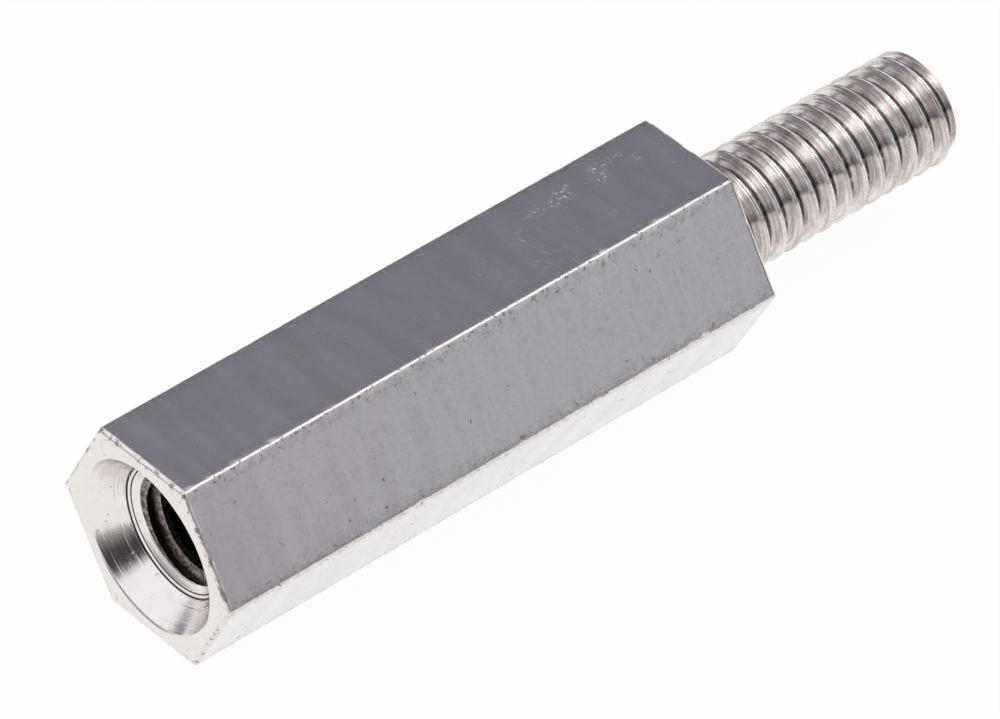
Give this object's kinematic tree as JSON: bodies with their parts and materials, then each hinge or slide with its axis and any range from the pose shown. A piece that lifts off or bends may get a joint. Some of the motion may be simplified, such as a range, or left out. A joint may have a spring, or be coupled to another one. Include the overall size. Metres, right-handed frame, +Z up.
{
  "type": "hex standoff",
  "caption": "Plated metal hexagon spacer with a tapped, countersunk hole at one end and a threaded stud at the other.",
  "frame": {"origin": "under the middle of the whole piece, on the surface that it lies on", "axes": "+X along the turned axis from the tapped end to the stud, +Z up out of the flat that faces up, +Y across two corners"},
  "size_m": [0.0318, 0.008, 0.007],
  "materials": {
    "plated_metal": "drawn and plated, half bright"
  },
  "bodies": {
    "root": {"standoff": "plated_metal"}
  },
  "joints": []
}
